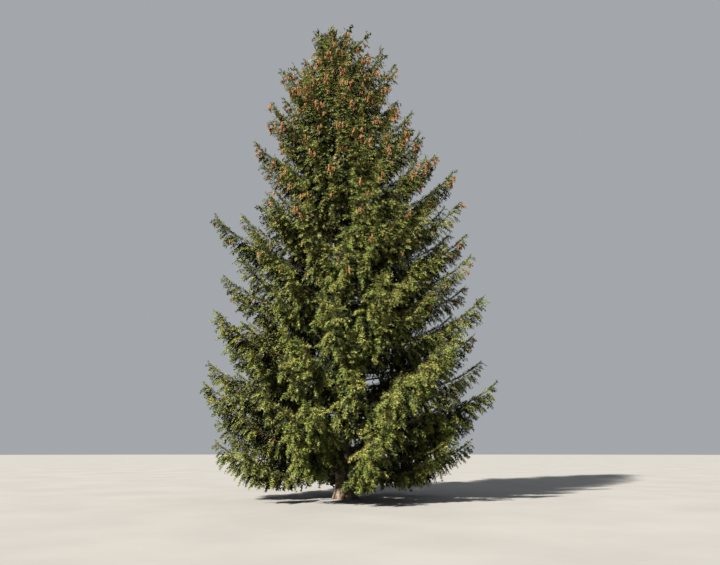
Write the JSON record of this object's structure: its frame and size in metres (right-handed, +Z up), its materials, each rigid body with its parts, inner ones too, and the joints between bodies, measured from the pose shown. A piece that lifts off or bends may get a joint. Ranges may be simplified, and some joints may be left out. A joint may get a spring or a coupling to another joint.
{
  "type": "spruce tree",
  "caption": "Whole free-standing spruce with a straight leaning trunk, upswept boughs and a dense ragged cone of hanging needle foliage down to the ground.",
  "frame": {"origin": "middle of the flat cut under the trunk, at ground level", "axes": "+Z up along the height, +X to the right in the front view, which looks along +Y"},
  "size_m": [10.8327, 10.7054, 20],
  "materials": {
    "bark": "rough scaly grey-brown bark",
    "needles": "matt olive to deep green needles"
  },
  "bodies": {
    "root": {"trunk": "bark", "bough_01": "bark", "bough_02": "bark", "bough_03": "bark", "bough_04": "bark", "bough_05": "bark", "bough_06": "bark", "bough_07": "bark", "bough_08": "bark", "bough_09": "bark", "bough_10": "bark", "bough_11": "bark", "bough_12": "bark", "bough_13": "bark", "bough_14": "bark", "bough_15": "bark", "bough_16": "bark", "bough_17": "bark", "bough_18": "bark", "bough_20": "bark", "bough_25": "bark", "foliage_01": "needles", "foliage_02": "needles", "foliage_03": "needles", "foliage_04": "needles", "foliage_05": "needles", "foliage_06": "needles", "foliage_07": "needles", "foliage_08": "needles", "foliage_09": "needles", "foliage_10": "needles", "foliage_11": "needles", "foliage_12": "needles", "foliage_13": "needles", "foliage_14": "needles", "foliage_15": "needles", "foliage_16": "needles", "foliage_17": "needles", "foliage_18": "needles", "foliage_19": "needles", "foliage_20": "needles", "foliage_21": "needles", "foliage_22": "needles", "foliage_23": "needles", "foliage_24": "needles", "foliage_25": "needles", "foliage_26": "needles", "foliage_27": "needles", "foliage_28": "needles", "foliage_29": "needles", "foliage_30": "needles", "foliage_31": "needles", "foliage_32": "needles", "foliage_33": "needles", "foliage_34": "needles", "foliage_35": "needles", "foliage_36": "needles", "foliage_37": "needles", "foliage_leader": "needles"}
  },
  "joints": []
}
